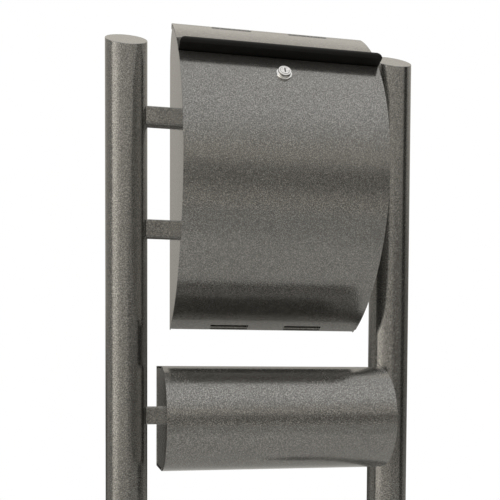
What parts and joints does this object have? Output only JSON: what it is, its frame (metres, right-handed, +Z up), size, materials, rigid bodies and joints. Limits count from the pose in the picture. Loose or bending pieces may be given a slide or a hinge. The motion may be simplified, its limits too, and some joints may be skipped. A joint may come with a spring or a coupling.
{
  "type": "letterbox stand",
  "caption": "Free-standing letterbox on two round posts: curved locking front door, lift-up lid with a black grip strip, and a round newspaper holder below.",
  "frame": {"origin": "on the ground, midway between the two posts, in the plane of the post axes", "axes": "+Z up, -Y to the front of the letterbox, X across from post to post"},
  "size_m": [0.54, 0.2271, 1.2],
  "materials": {
    "hammered_paint": "warm dark grey hammered enamel, half gloss",
    "black_plastic": "matt black moulded plastic",
    "chrome": "polished chrome plate",
    "zinc_steel": "bright zinc plate"
  },
  "bodies": {
    "stand": {"left_post": "hammered_paint", "left_post_cap": "hammered_paint", "left_base_plate": "hammered_paint", "left_side_panel": "hammered_paint", "right_post": "hammered_paint", "right_post_cap": "hammered_paint", "right_base_plate": "hammered_paint", "right_side_panel": "hammered_paint", "upper_crossbar": "hammered_paint", "lower_crossbar": "hammered_paint", "holder_crossbar": "hammered_paint", "back_panel": "hammered_paint", "front_rail": "hammered_paint", "box_screws": "zinc_steel", "box_rivet_nuts": "zinc_steel", "lid_hinge_brackets": "hammered_paint", "lid_hinge_pin": "zinc_steel", "door_hinge_brackets": "hammered_paint", "door_hinge_pin": "zinc_steel", "holder_shell": "hammered_paint", "holder_back": "hammered_paint", "holder_end_plate": "hammered_paint", "holder_screws": "zinc_steel", "holder_rivet_nuts": "zinc_steel"},
    "lid": {"lid_sheet": "hammered_paint", "grip_strip": "black_plastic"},
    "door": {"door_skin": "hammered_paint", "lock_housing": "chrome", "lock_nut": "zinc_steel"},
    "lock": {"lock_plug": "chrome", "lock_cam": "zinc_steel", "cam_screw": "zinc_steel"}
  },
  "joints": [
    {"name": "lid_hinge", "type": "hinge", "parent": "stand", "child": "lid", "pos_m": [0, -0.0313, 1.19351], "axis": [-1, 0, 0], "range_deg": [0, 80]},
    {"name": "door_hinge", "type": "hinge", "parent": "stand", "child": "door", "pos_m": [0, -0.0186, 0.77514], "axis": [1, 0, 0], "range_deg": [0, 65]},
    {"name": "lock_turn", "type": "hinge", "parent": "door", "child": "lock", "pos_m": [0, -0.12473, 1.10767], "axis": [0, -0.8646, 0.5025], "range_deg": [0, 90]}
  ]
}
